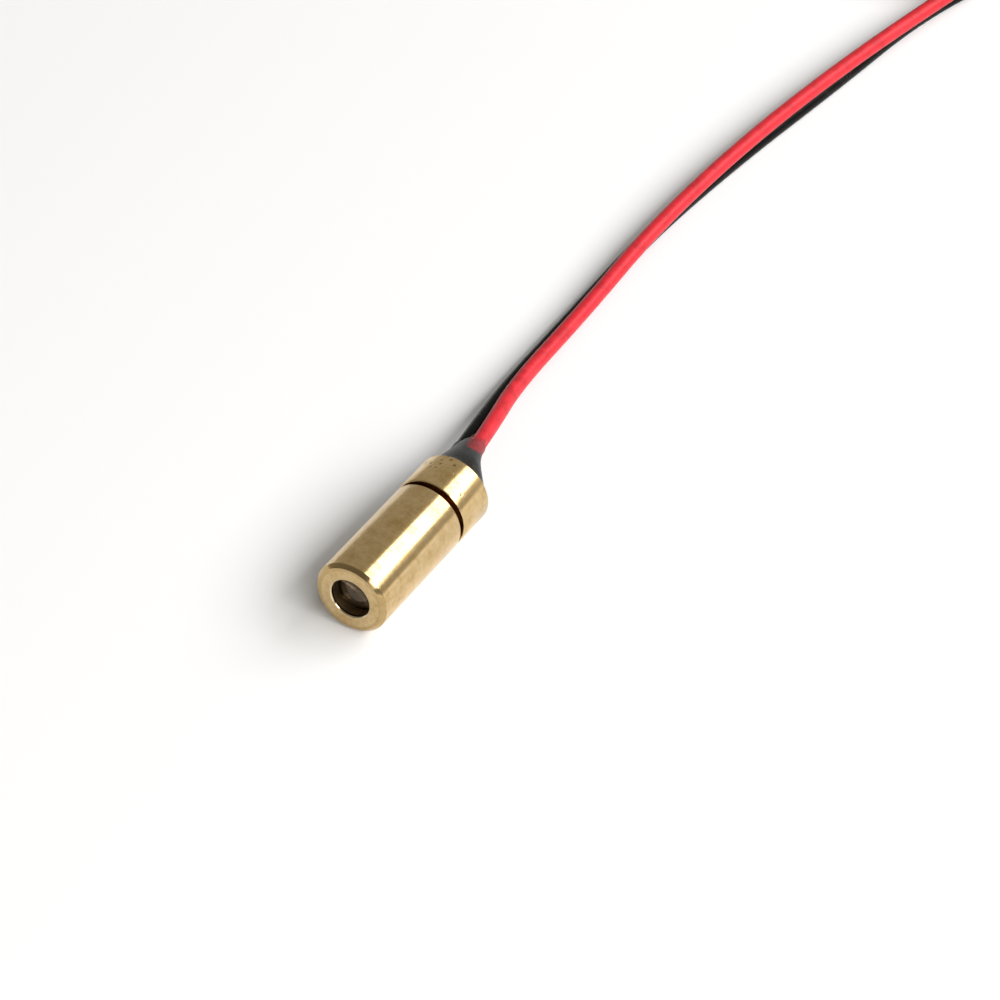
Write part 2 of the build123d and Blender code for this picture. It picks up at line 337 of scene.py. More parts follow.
# Both leads in the coil: red on top until its last quarter turn, black underneath
red_turns, black_turns = 2.0, 1.75
red_coil = coil_turns(red_route, red_turns, upper_layer, lower_layer, 1.75)
red_coil += end_curl(red_route, red_turns, math.radians(58))
black_coil = coil_turns(black_route, black_turns, lower_layer, lower_layer, 1)
black_coil += end_curl(black_route, black_turns, math.radians(68))
make_camera()
red_wire = make_lead("red_wire", red_route, red_coil)
black_wire = make_lead("black_wire", black_route, black_coil)
red_strands = make_tip("red_strands", red_coil)
black_strands = make_tip("black_strands", black_coil)


def finish_piece(name, shape, slot, *replaced):
    """Turns a bmesh into a smooth piece that rides on the body and may stand for CAD nodes."""
    mesh = bpy.data.meshes.new(name)
    shape.to_mesh(mesh)
    shape.free()
    mesh.shade_smooth()
    piece = bpy.data.objects.new(name, mesh)
    scene.collection.objects.link(piece)
    piece.modifiers.new("even_shading", "WEIGHTED_NORMAL")
    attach(piece, "root")
    if replaced:
        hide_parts(*replaced)
    return piece


def turned_piece(name, outline):
    """A piece turned about the Y axis, from the (radius, y) corners of its half section.

    Its materials are the outer finish, the bores' and the focus gap's, in that order; the last two are painted
    dark, as shade.
    """
    shape = bmesh.new()
    half = shape.faces.new([shape.verts.new((radius, y, 0)) for radius, y in outline])
    bmesh.ops.bevel(
        shape,
        geom=half.verts[:],
        offset=edge_round,
        affect="VERTICES",
        segments=edge_round_segments,
        profile=0.5,
        material=-1,
    )
    bmesh.ops.delete(shape, geom=shape.faces[:], context="FACES_ONLY")
    bmesh.ops.spin(
        shape,
        geom=shape.verts[:] + shape.edges[:],
        cent=(0, 0, 0),
        axis=(0, 1, 0),
        angle=2 * math.pi,
        steps=turning_steps,
        use_merge=True,
    )
    bmesh.ops.remove_doubles(shape, verts=shape.verts[:], dist=merge_distance)
    bmesh.ops.recalc_face_normals(shape, faces=shape.faces[:])
    for face in shape.faces:
        middle = face.calc_center_median()
        outwards = Vector((middle.x, 0, middle.z)).normalized()
        radius = math.hypot(middle.x, middle.z)
        bored = face.normal.dot(outwards) < -0.9
        deep = radius < thread_bore_radius and middle.y > aperture_edge_break * 2
        in_gap = (
            barrel_length - edge_round <= middle.y <= collar_front + edge_round
            and radius < body_radius - edge_break * 2
        )
        face.material_index = 2 if in_gap else 1 if bored or deep else 0
    return finish_piece(name, shape, "brass", name.replace("turned_", ""))


def make_barrel():
    """The front barrel, with its aperture, lens pocket and bore."""
    thread_start = neck_front - neck_end_clearance
    return turned_piece(
        "turned_front_barrel",
        [
            (aperture_radius + aperture_edge_break, 0),
            (body_radius - front_chamfer, 0),
            (body_radius, front_chamfer),
            (body_radius, barrel_length - edge_break),
            (body_radius - edge_break, barrel_length),
            (thread_bore_radius + thread_relief, barrel_length),
            (thread_bore_radius, barrel_length - thread_relief),
            (thread_bore_radius, thread_start),
            (lens_pocket_radius, thread_start),
            (lens_pocket_radius, aperture_wall),
            (aperture_radius, aperture_wall),
            (aperture_radius, aperture_edge_break),
        ],
    )


def make_holder():
    """The diode holder: its collar, and its neck down to the root of the thread."""
    root = neck_radius - thread_depth
    return turned_piece(
        "turned_diode_holder",
        [
            (beam_hole_radius, neck_front),
            (root - edge_break, neck_front),
            (root, neck_front + edge_break),
            (root, collar_front),
            (body_radius - edge_break, collar_front),
            (body_radius, collar_front + edge_break),
            (body_radius, rear_face - edge_break),
            (body_radius - edge_break, rear_face),
            (cavity_radius, rear_face),
            (cavity_radius, stem_front),
            (cap_bore_radius, stem_front),
            (cap_bore_radius, neck_front + neck_end_wall),
            (beam_hole_radius, neck_front + neck_end_wall),
        ],
    )


def make_thread():
    """The thread on the neck: one ridge that winds from the neck's end to the collar."""
    root = neck_radius - thread_depth - thread_overlap
    half_base = thread_pitch * thread_base_share
    half_crest = thread_pitch * thread_crest_share
    start = neck_front + thread_pitch / 2
    turns = (collar_front - start) / thread_pitch
    turns = math.floor(turns * thread_parts_of_turn) / thread_parts_of_turn
    shape = bmesh.new()
    section = shape.faces.new(
        [
            shape.verts.new((root, start - half_base, 0)),
            shape.verts.new((neck_radius, start - half_crest, 0)),
            shape.verts.new((neck_radius, start + half_crest, 0)),
            shape.verts.new((root, start + half_base, 0)),
        ]
    )
    bmesh.ops.spin(
        shape,
        geom=[section, *section.edges, *section.verts],
        cent=(0, 0, 0),
        axis=(0, 1, 0),
        dvec=(0, thread_pitch / thread_steps, 0),
        angle=2 * math.pi * turns,
        steps=round(turns * thread_steps),
        use_duplicate=False,
    )
    bmesh.ops.recalc_face_normals(shape, faces=shape.faces[:])
    return finish_piece("neck_thread", shape, "brass")


def make_spring():
    """The lens spring: smooth turns of round wire that lie flat at both ends."""
    wire_radius = spring_wire_diameter / 2
    radius = (spring_high.x - spring_low.x) / 2 - wire_radius
    first, last = spring_low.y + wire_radius, spring_high.y - wire_radius
    line = bpy.data.curves.new("wound_spring", "CURVE")
    line.dimensions = "3D"
    line.bevel_depth = 1
    line.bevel_resolution = 4
    line.use_fill_caps = True
    steps = round(spring_turns * spring_points_per_turn)
    spline = line.splines.new("POLY")
    spline.points.add(steps)
    for step in range(steps + 1):
        turned = step / spring_points_per_turn
        rise = min(max((turned - spring_flat_turns) / (spring_turns - 2 * spring_flat_turns), 0), 1)
        spline.points[step].co = (
            radius * math.cos(2 * math.pi * turned),
            first + (last - first) * rise,
            radius * math.sin(2 * math.pi * turned),
            1,
        )
        spline.points[step].radius = wire_radius
    spring = bpy.data.objects.new("wound_spring", line)
    scene.collection.objects.link(spring)
    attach(spring, "root")
    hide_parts("lens_spring")
    return spring


def lead_line(lead):
    """The points that a lead's smooth line passes through, from its start."""
    bare = lead.data.copy()
    bare.bevel_depth = 0
    model = bpy.data.objects.new("bare_line", bare)
    points = [vertex.co.copy() for vertex in bpy.data.meshes.new_from_object(model).vertices]
    bpy.data.objects.remove(model)
    return points


def add_sleeve(shape, line, start, end, first_radius, last_radius):
    """A closed tapered tube round a line, between two distances behind the rear face."""
    rings = []
    for before, point, after in zip(line, line[1:], line[2:]):
        share = (point.y - rear_face - start) / (end - start)
        if not 0 <= share <= 1:
            continue
        facing = (after - before).to_track_quat("Z", "Y").to_matrix().to_4x4()
        radius = first_radius + (last_radius - first_radius) * share
        ring = bmesh.ops.create_circle(
            shape, segments=sleeve_segments, radius=radius, matrix=Matrix.Translation(point) @ facing
        )["verts"]
        rings.append(list({edge for vertex in ring for edge in vertex.link_edges}))
    for ring, following in zip(rings, rings[1:]):
        bmesh.ops.bridge_loops(shape, edges=ring + following)
    for ring in (rings[0], rings[-1]):
        bmesh.ops.edgeloop_fill(shape, edges=ring)


def make_potting(red_line, black_line):
    """The cast potting: the CAD form, with the resin drawn up onto the leads and melted round.

    It is remeshed at a larger scale. The film_on_red attribute grows to 1 as the resin on red thins.
    """
    enlarge = 1000
    shape = bmesh.new()
    shape.from_mesh(nodes["potting"].data)
    bmesh.ops.remove_doubles(shape, verts=shape.verts[:], dist=merge_distance * 10)
    grip = lead_diameter / 2
    for line in (red_line, black_line):
        thick, thin = grip + resin_thickness_start, grip + resin_thickness_end
        add_sleeve(shape, line, resin_start, resin_end, thick, thin)
    groove = [(red + black) / 2 for red, black in zip(red_line, black_line)]
    add_sleeve(shape, groove, groove_start, groove_end, groove_radius_start, groove_radius_end)
    bmesh.ops.recalc_face_normals(shape, faces=shape.faces[:])
    bmesh.ops.scale(shape, vec=(enlarge, enlarge, enlarge), verts=shape.verts[:])
    rough = bpy.data.meshes.new("rough_potting")
    shape.to_mesh(rough)
    shape.free()
    model = bpy.data.objects.new("rough_potting", rough)
    scene.collection.objects.link(model)
    remesh = model.modifiers.new("remesh", "REMESH")
    remesh.mode = "VOXEL"
    remesh.voxel_size = resin_voxel * enlarge
    made = bpy.data.meshes.new_from_object(model.evaluated_get(bpy.context.evaluated_depsgraph_get()))
    bpy.data.objects.remove(model)
    shape = bmesh.new()
    shape.from_mesh(made)
    bmesh.ops.scale(shape, vec=(1 / enlarge, 1 / enlarge, 1 / enlarge), verts=shape.verts[:])
    for _ in range(resin_smoothing_steps):
        bmesh.ops.smooth_vert(
            shape, verts=shape.verts[:], factor=0.5, use_axis_x=True, use_axis_y=True, use_axis_z=True
        )
    bmesh.ops.recalc_face_normals(shape, faces=shape.faces[:])
    cover = shape.verts.layers.float.new("film_on_red")
    near = [
        (point, (after - point).normalized())
        for point, after in zip(red_line, red_line[1:])
        if rear_face + film_searched_from < point.y < rear_face + film_searched_to
    ]
    for vertex in shape.verts:
        if vertex.co.y > rear_face + film_start:
            point, along = min(near, key=lambda place: (vertex.co - place[0]).length_squared)
            offset = vertex.co - point
            thickness = (offset - along * offset.dot(along)).length - grip
            vertex[cover] = min(max(1 - thickness / film_thickness, 0), 1)
    return finish_piece("cast_potting", shape, "black_potting", "potting")


def make_tie():
    """The cable tie round the coil: a rounded band, its head and the cut end of its tail."""
    inner = coil_outer_turn - tie_turns_held * coil_pitch + lead_diameter / 2
    outer = (coil_high.x - coil_low.x) / 2
    width = outer - inner + 2 * tie_slack
    height = coil_high.z - coil_low.z
    shape = bmesh.new()
    corners = [
        (-width / 2, -height / 2),
        (width / 2, -height / 2),
        (width / 2, height / 2),
        (-width / 2, height / 2),
    ]
    loop = shape.faces.new([shape.verts.new((x, -tie_width / 2, z)) for x, z in corners])
    bmesh.ops.bevel(
        shape,
        geom=loop.verts[:],
        offset=height * tie_corner_share,
        affect="VERTICES",
        segments=tie_corner_segments,
        profile=0.5,
        material=-1,
    )
    rim = shape.edges[:]
    bmesh.ops.delete(shape, geom=shape.faces[:], context="FACES_ONLY")
    grown = bmesh.ops.extrude_edge_only(shape, edges=rim)["geom"]
    bmesh.ops.translate(
        shape, vec=(0, tie_width, 0), verts=[part for part in grown if isinstance(part, bmesh.types.BMVert)]
    )
    bmesh.ops.recalc_face_normals(shape, faces=shape.faces[:])
    bmesh.ops.solidify(shape, geom=shape.faces[:], thickness=-tie_thickness)
    bmesh.ops.recalc_face_normals(shape, faces=shape.faces[:])
    head_size = Vector(tie_head_size)
    head_x = width / 2 + tie_thickness + head_size.x / 2 - tie_head_overlap
    head = bmesh.ops.create_cube(shape, size=1)["verts"]
    bmesh.ops.scale(shape, vec=head_size, verts=head)
    bmesh.ops.translate(shape, vec=(head_x, 0, 0), verts=head)
    tail = bmesh.ops.create_cube(shape, size=1)["verts"]
    tail_z = (tie_tail_height - head_size.z) / 2 - tie_tail_drop
    bmesh.ops.scale(shape, vec=(tie_thickness, tie_width * 0.8, tie_tail_height), verts=tail)
    bmesh.ops.translate(shape, vec=(head_x, 0, tail_z), verts=tail)
    sharp = [edge for edge in shape.edges if edge.is_manifold and edge.calc_face_angle() > sharp_angle]
    bmesh.ops.bevel(
        shape,
        geom=sharp,
        offset=tie_edge_round,
        affect="EDGES",
        segments=2,
        profile=0.5,
        material=-1,
        clamp_overlap=True,
    )
    reach = (inner + outer) / 2
    middle = Vector((reach * math.cos(tie_angle), reach * math.sin(tie_angle), 0))
    turn = Matrix.Rotation(tie_angle, 3, "Z")
    bmesh.ops.rotate(shape, cent=(0, 0, 0), matrix=turn, verts=shape.verts[:])
    bmesh.ops.translate(shape, vec=coil_centre + middle, verts=shape.verts[:])
    return finish_piece("cable_tie", shape, "tie_plastic", "lead_tie")


barrel = make_barrel()
holder = make_holder()
neck_thread = make_thread()
wound_spring = make_spring()
cast_potting = make_potting(lead_line(red_wire), lead_line(black_wire))
cable_tie = make_tie()

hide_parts("red_lead", "lead_coil")
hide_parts("black_lead", "lead_coil")
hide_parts("red_lead_tip")
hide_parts("black_lead_tip")


def add(tree, kind, inputs=None, **settings):
    """A new shader node. Inputs are its sockets' values or what feeds them, and settings its options."""
    node = tree.nodes.new("ShaderNode" + kind)
    for option, value in settings.items():
        setattr(node, option, value)
    for socket, value in (inputs or {}).items():
        if isinstance(value, bpy.types.NodeSocket):
            tree.links.new(value, node.inputs[socket])
        else:
            node.inputs[socket].default_value = value
    return node


def math_node(tree, operation, *values, clamp=False):
    """A Math node and its result."""
    node = add(tree, "Math", dict(enumerate(values)), operation=operation, use_clamp=clamp)
    return node.outputs[0]


def remap(tree, value, low, high, to_low=0.0, to_high=1.0):
    """A value brought from one range to another and held inside it."""
    limits = {"From Min": low, "From Max": high, "To Min": to_low, "To Max": to_high}
    return add(tree, "MapRange", {"Value": value, **limits}).outputs[0]


def noise(tree, point, scale, detail=2.0, roughness=0.5):
    """Soft random patches, scale to the metre."""
    inputs = {"Vector": point, "Scale": scale, "Detail": detail, "Roughness": roughness}
    return add(tree, "TexNoise", inputs).outputs["Fac"]


def bump(tree, height, strength, distance, below=None, **settings):
    """A bumped normal, over another one if it is given."""
    inputs = {"Height": height, "Strength": strength, "Distance": distance}
    if below is not None:
        inputs["Normal"] = below
    return add(tree, "Bump", inputs, **settings).outputs[0]


def mixed(tree, share, first, second):
    """Two colours mixed by a share from 0 to 1."""
    inputs = {"Fac": share}
    for socket, colour in (("Color1", first), ("Color2", second)):
        inputs[socket] = (*colour, 1) if isinstance(colour, tuple) else colour
    return add(tree, "MixRGB", inputs).outputs[0]


def new_group(name, inputs, outputs):
    """An empty shader group with named sockets: its tree, what comes in and its output node."""
    tree = bpy.data.node_groups.new(name, "ShaderNodeTree")
    for socket, kind, default in inputs:
        made = tree.interface.new_socket(socket, in_out="INPUT", socket_type="NodeSocket" + kind)
        if default is not None:
            made.default_value = default
    for socket, kind in outputs:
        tree.interface.new_socket(socket, in_out="OUTPUT", socket_type="NodeSocket" + kind)
    source = tree.nodes.new("NodeGroupInput")
    result = tree.nodes.new("NodeGroupOutput")
    return tree, source.outputs, result


def make_turning_marks():
    """Marks that a lathe leaves: rings along the Y axis and at each radius, and chatter round it."""
    tree, given, result = new_group(
        "turning_marks",
        [("Point", "Vector", None), ("Spacing", "Float", 0.00004), ("Chatter", "Float", 0.0006)],
        [("Rings", "Float"), ("Ripple", "Float")],
    )
    axes = add(tree, "SeparateXYZ", {"Vector": given["Point"]}).outputs
    flat = add(tree, "CombineXYZ", {"X": axes["X"], "Z": axes["Z"]}).outputs[0]
    radius = add(tree, "VectorMath", {0: flat}, operation="LENGTH").outputs["Value"]
    fine = math_node(tree, "DIVIDE", 1.0, given["Spacing"])
    ring = add(
        tree,
        "CombineXYZ",
        {"X": math_node(tree, "MULTIPLY", radius, fine), "Y": math_node(tree, "MULTIPLY", axes["Y"], fine)},
    ).outputs[0]
    loose = add(tree, "VectorMath", {0: given["Point"], "Scale": 300.0}, operation="SCALE").outputs[0]
    where = add(tree, "VectorMath", {0: ring, 1: loose}, operation="ADD").outputs[0]
    rings = noise(tree, where, 1.0, 3.0, 0.6)
    broad = math_node(tree, "DIVIDE", 1.0, given["Chatter"])
    around = add(tree, "VectorMath", {0: flat, "Scale": broad}, operation="SCALE").outputs[0]
    coarser = math_node(tree, "MULTIPLY", fine, 0.22)
    along = add(tree, "CombineXYZ", {"Y": math_node(tree, "MULTIPLY", axes["Y"], coarser)}).outputs[0]
    both = add(tree, "VectorMath", {0: around, 1: along}, operation="ADD").outputs[0]
    ripple = noise(tree, both, 1.0, 2.0)
    tree.links.new(rings, result.inputs["Rings"])
    tree.links.new(ripple, result.inputs["Ripple"])
    return tree


turning_marks = make_turning_marks()


def use_group(tree, group, inputs):
    """A shared group placed in a material, and its outputs."""
    node = add(tree, "Group", node_tree=group)
    for socket, value in inputs.items():
        if isinstance(value, bpy.types.NodeSocket):
            tree.links.new(value, node.inputs[socket])
        else:
            node.inputs[socket].default_value = value
    return node.outputs


def new_material(name):
    """A material, its tree, its shader and the Object coordinates."""
    material = bpy.data.materials.new(name)
    material.use_nodes = True
    tree = material.node_tree
    shader = tree.nodes["Principled BSDF"]
    point = add(tree, "TexCoord").outputs["Object"]
    return material, tree, shader, point


def set_shader(shader, **values):
    """Plain values on the shader's own sockets, with words joined by underscores."""
    for name, value in values.items():
        socket = shader.inputs[name.replace("_", " ")]
        socket.default_value = (*value, 1) if isinstance(value, tuple) else value


def make_brass(name, tone, roughness, pit_from, pit_to):
    """Bright turned brass, stained, darker on its front chamfer, with a painted highlight on the aperture's
    bevel and pits between two places along Y.
    """
    material, tree, shader, point = new_material(name)
    set_shader(shader, Metallic=1.0, Anisotropic=0.7, Anisotropic_Rotation=0.25)
    around = add(tree, "Tangent", direction_type="RADIAL", axis="Y").outputs[0]
    tree.links.new(around, shader.inputs["Tangent"])
    marks = use_group(tree, turning_marks, {"Point": point})
    place = add(tree, "SeparateXYZ", {"Vector": point}).outputs
    stained = tuple(part * share for part, share in zip(tone, (0.74, 0.66, 0.5)))
    broad = noise(tree, point, 1100.0, 5.0, 0.65)
    fine = noise(tree, point, 4200.0, 4.0, 0.7)
    clouds = remap(tree, broad, 0.42, 0.75, 0.0, 0.7)
    spots = remap(tree, fine, 0.4, 0.75, 0.0, 0.55)
    streaks = remap(tree, marks["Rings"], 0.35, 0.75, 0.0, 0.3)
    stain = math_node(tree, "ADD", math_node(tree, "ADD", clouds, spots), streaks, clamp=True)
    flat = add(tree, "CombineXYZ", {"X": place["X"], "Z": place["Z"]}).outputs[0]
    radius = add(tree, "VectorMath", {0: flat}, operation="LENGTH").outputs["Value"]
    rim = math_node(tree, "SUBTRACT", radius, place["Y"])
    chamfer = remap(tree, rim, body_radius - front_chamfer * 2, body_radius - front_chamfer * 1.8)
    in_front = math_node(tree, "LESS_THAN", place["Y"], front_chamfer * 1.02)
    chamfer = math_node(tree, "MULTIPLY", math_node(tree, "MULTIPLY", chamfer, in_front), 0.5)
    colour = mixed(tree, stain, tone, stained)
    colour = mixed(tree, chamfer, colour, tuple(part * 0.8 for part in stained))
    # Painted highlight: the aperture's bevel is coloured a pale brass, as if it caught the light.
    ring = math_node(tree, "LESS_THAN", radius, aperture_radius + aperture_edge_break * 1.15)
    colour = mixed(tree, math_node(tree, "MULTIPLY", ring, 0.6), colour, (0.9, 0.76, 0.52))
    cells = {"Vector": point, "Scale": 2400.0, "Randomness": 1.0}
    speck = add(tree, "TexVoronoi", cells).outputs["Distance"]
    rare = remap(tree, noise(tree, point, 700.0, 1.0), 0.49, 0.51)
    zone = math_node(
        tree,
        "MULTIPLY",
        math_node(tree, "GREATER_THAN", place["Y"], pit_from),
        math_node(tree, "LESS_THAN", place["Y"], pit_to),
    )
    pits = math_node(tree, "MULTIPLY", math_node(tree, "MULTIPLY", remap(tree, speck, 0.24, 0.13), rare), zone)
    colour = mixed(tree, pits, colour, tuple(part * 0.55 for part in stained))
    tree.links.new(colour, shader.inputs["Base Color"])
    dull = remap(tree, broad, 0.3, 0.7, roughness * 0.85, roughness * 1.2)
    dull = math_node(tree, "ADD", dull, math_node(tree, "MULTIPLY", fine, 0.06))
    tree.links.new(dull, shader.inputs["Roughness"])
    rings = bump(tree, marks["Rings"], 1.0, 0.0000016)
    ripple = bump(tree, marks["Ripple"], 1.0, 0.000004, rings)
    sunk = bump(tree, pits, 0.6, 0.00002, ripple, invert=True)
    tree.links.new(sunk, shader.inputs["Normal"])
    return material


def make_plain(name, colour, roughness, metallic=0.0, grain=2000.0, variation=0.12, relief=0.1):
    """A simple finish with a fine mottled grain in its colour, gloss and surface."""
    material, tree, shader, point = new_material(name)
    set_shader(shader, Metallic=metallic)
    mottle = noise(tree, point, grain, 5.0, 0.6)
    share = remap(tree, mottle, 0.3, 0.7)
    darker = tuple(part * (1 - variation) for part in colour)
    lighter = tuple(min(part * (1 + variation), 1) for part in colour)
    tree.links.new(mixed(tree, share, darker, lighter), shader.inputs["Base Color"])
    dull = remap(tree, mottle, 0.0, 1.0, roughness * 0.85, roughness * 1.15)
    tree.links.new(dull, shader.inputs["Roughness"])
    tree.links.new(bump(tree, mottle, relief, 0.00002), shader.inputs["Normal"])
    return material


def behind_body(tree, point):
    """How far a place lies behind the body's rear face."""
    distance = add(tree, "SeparateXYZ", {"Vector": point}).outputs["Y"]
    return math_node(tree, "SUBTRACT", distance, rear_face)


def make_sheath(name, colour, roughness, gloss, smear):
    """The insulation of a lead: extruded plastic, scuffed, with potting smeared on it at the boot."""
    material, tree, shader, point = new_material(name)
    set_shader(shader, Specular_IOR_Level=gloss)
    fine = noise(tree, point, 5200.0, 3.0, 0.6)
    broad = noise(tree, point, 650.0, 4.0, 0.6)
    scuffed = math_node(tree, "MULTIPLY", remap(tree, broad, 0.5, 0.72), remap(tree, fine, 0.4, 0.65))
    paler = tuple(min(part * 1.25 + 0.012, 1) for part in colour)
    tinted = mixed(tree, scuffed, colour, paler)
    blotched = remap(tree, noise(tree, point, 1400.0, 3.0, 0.6), 0.5, 0.36, 0.0, 0.7)
    tinted = mixed(tree, blotched, tinted, tuple(part * 0.72 for part in colour))
    ragged = math_node(tree, "ADD", behind_body(tree, point), math_node(tree, "MULTIPLY", broad, 0.0007))
    film = remap(tree, ragged, 0.0040, 0.0050, 0.16, 0.0)
    tree.links.new(mixed(tree, film, tinted, smear), shader.inputs["Base Color"])
    dull = math_node(tree, "ADD", remap(tree, scuffed, 0.0, 1.0, 0.0, 0.12), roughness)
    tree.links.new(dull, shader.inputs["Roughness"])
    drawn = bump(tree, fine, 0.25, 0.00001)
    tree.links.new(bump(tree, broad, 0.4, 0.00003, drawn), shader.inputs["Normal"])
    return material


def make_resin(name, colour, roughness, film):
    """Black potting resin: satin, slightly wavy, dusty, reddish where it is a film on the red lead, and
    painted near-black as shade next to the body's rim.
    """
    material, tree, shader, point = new_material(name)
    set_shader(shader, Specular_IOR_Level=0.03)
    broad = noise(tree, point, 900.0, 4.0, 0.6)
    fine = noise(tree, point, 7000.0, 3.0)
    cells = {"Vector": point, "Scale": 5200.0, "Randomness": 1.0}
    dust = add(tree, "TexVoronoi", cells).outputs["Distance"]
    rare = remap(tree, noise(tree, point, 2100.0, 1.0), 0.6, 0.62)
    specks = math_node(tree, "MULTIPLY", remap(tree, dust, 0.16, 0.1), rare)
    tinted = mixed(tree, remap(tree, broad, 0.35, 0.7), colour, tuple(part * 1.7 for part in colour))
    thin = add(tree, "Attribute", attribute_name="film_on_red").outputs["Fac"]
    thin = math_node(tree, "ADD", thin, remap(tree, fine, 0.3, 0.7, -0.25, 0.15))
    tinted = mixed(tree, remap(tree, thin, 0.12, 0.85), tinted, film)
    # Painted shade: the resin is coloured near-black close to the rear face, where the brass rim shades it.
    painted_rim_shade = remap(tree, behind_body(tree, point), 0.0004, 0.0019, 0.95, 0.0)
    tinted = mixed(tree, painted_rim_shade, tinted, (0.003, 0.003, 0.002))
    tree.links.new(mixed(tree, specks, tinted, (0.12, 0.12, 0.12)), shader.inputs["Base Color"])
    dull = remap(tree, broad, 0.3, 0.7, roughness * 0.85, roughness * 1.25)
    tree.links.new(dull, shader.inputs["Roughness"])
    wavy = bump(tree, broad, 0.5, 0.00005)
    tree.links.new(bump(tree, fine, 0.25, 0.000008, wavy), shader.inputs["Normal"])
    return material


def make_bore():
    """Bored brass painted dark brown for the shade inside the bore, with patches of tarnish, and a near-black
    painted shade ring just inside the aperture.
    """
    material, tree, shader, point = new_material("bore_tarnish_and_painted_shade")
    set_shader(shader, Metallic=1.0)
    depth = add(tree, "SeparateXYZ", {"Vector": point}).outputs["Y"]
    # Painted shade: both bore colours are dark brown for the shade inside the bore; the noise between them is
    # tarnish.
    tarnish = remap(tree, noise(tree, point, 3200.0, 5.0, 0.65), 0.38, 0.66)
    colour = mixed(tree, tarnish, (0.32, 0.235, 0.12), (0.14, 0.092, 0.042))
    # Painted shade: a near-black ring just inside the aperture, where the bore's mouth lies in shade.
    ring = remap(tree, depth, 0.00013, 0.00019, 1.0, 0.0)
    colour = mixed(tree, ring, colour, (0.02, 0.008, 0.004))
    tree.links.new(colour, shader.inputs["Base Color"])
    tree.links.new(remap(tree, tarnish, 0.0, 1.0, 0.34, 0.55), shader.inputs["Roughness"])
    marks = use_group(tree, turning_marks, {"Point": point})
    tree.links.new(bump(tree, marks["Rings"], 1.0, 0.000004), shader.inputs["Normal"])
    return material


def make_lens(name, colour, level):
    """Coated glass, which lets little light back out and reflects a brownish tint, with faint dust."""
    material, tree, shader, point = new_material(name)
    set_shader(
        shader, Transmission_Weight=1.0, IOR=1.58, Specular_IOR_Level=level, Specular_Tint=(1.0, 0.78, 0.55)
    )
    dust = remap(tree, noise(tree, point, 5200.0, 3.0), 0.55, 0.7)
    tinted = mixed(tree, dust, colour, tuple(part * 0.85 for part in colour))
    tree.links.new(tinted, shader.inputs["Base Color"])
    tree.links.new(remap(tree, dust, 0.0, 1.0, 0.03, 0.16), shader.inputs["Roughness"])
    return material


def dress(material, *names):
    """Gives a material to CAD nodes, by name."""
    for name in names:
        piece = nodes[name]
        piece.data.materials.clear()
        piece.data.materials.append(material)


# The barrel has no pits: they are set between two places along Y that it doesn't reach
no_pits = (1, 2)
barrel_brass = make_brass("turned_brass", (0.67, 0.505, 0.275), 0.18, *no_pits)
collar_brass = make_brass("pitted_brass", (0.72, 0.545, 0.295), 0.2, collar_front, rear_face)
bore_brass = make_bore()
# Painted shade: the thread's brass is coloured nearly black-brown for the shade in the focus gap and inside
# the barrel.
shaded_thread_brass = make_plain(
    "cut_thread_painted_shade", (0.19, 0.068, 0.018), 0.36, metallic=1.0, grain=2600.0, variation=0.9, relief=0.3
)
red_sheath = make_sheath("red_sheath", (0.57, 0.017, 0.028), 0.42, 0.25, (0.14, 0.02, 0.025))
black_sheath = make_sheath(
    "black_sheath", (0.0035, 0.0042, 0.0038), 0.24, 0.06, (0.009, 0.01, 0.01)
)
potting_resin = make_resin("potting_resin", (0.028, 0.0305, 0.0295), 0.28, (0.36, 0.036, 0.043))
solder = make_plain("bright_solder", (0.72, 0.72, 0.7), 0.25, metallic=1.0)
tinned = make_plain("tinned_copper", (0.66, 0.65, 0.62), 0.3, metallic=1.0, grain=9000.0, relief=0.3)
gold = make_plain("gold_plate", (0.83, 0.62, 0.3), 0.22, metallic=1.0)
nickel = make_plain("nickel_plate", (0.6, 0.59, 0.56), 0.25, metallic=1.0)
steel = make_plain("spring_wire", (0.5, 0.5, 0.49), 0.3, metallic=1.0)
ceramic = make_plain("white_ceramic", (0.8, 0.8, 0.76), 0.5)
silicon = make_plain("polished_chip", (0.12, 0.12, 0.15), 0.15)
laminate = make_plain("green_solder_mask", (0.02, 0.16, 0.06), 0.35)
epoxy = make_plain("moulded_epoxy", (0.02, 0.02, 0.02), 0.55)
fired = make_plain("capacitor_body", (0.45, 0.3, 0.18), 0.45)
nylon = make_plain("tie_nylon", (0.78, 0.78, 0.74), 0.38, grain=3500.0, variation=0.05, relief=0.3)
lens_glass = make_lens("lens_glass", (0.36, 0.28, 0.2), 0.22)
window_glass = make_lens("window_glass", (0.85, 0.87, 0.86), 0.5)
seal_glass = make_plain("seal_glass", (0.05, 0.1, 0.07), 0.15)

for piece, *finishes in (
    (barrel, barrel_brass, bore_brass, shaded_thread_brass),
    (holder, collar_brass, bore_brass, shaded_thread_brass),
    (neck_thread, shaded_thread_brass),
    (red_wire, red_sheath),
    (black_wire, black_sheath),
    (red_strands, tinned),
    (black_strands, tinned),
    (wound_spring, steel),
    (cast_potting, potting_resin),
    (cable_tie, nylon),
):
    for finish in finishes:
        piece.data.materials.append(finish)
dress(barrel_brass, "front_barrel")
dress(collar_brass, "diode_holder")
dress(lens_glass, "collimating_lens")
dress(window_glass, "cap_window")
dress(steel, "lens_spring")
dress(gold, "diode_stem", "laser_pin", "photodiode_pin", "case_pin")
dress(nickel, "diode_cap")
dress(ceramic, "chip_submount")
dress(silicon, "laser_chip", "monitor_photodiode")
dress(seal_glass, "pin_glass_seals")
dress(laminate, "driver_board")
dress(epoxy, "driver_chip", "current_resistor")
dress(fired, "supply_capacitor")
dress(solder, "pin_solder_joints", "lead_solder_joints")
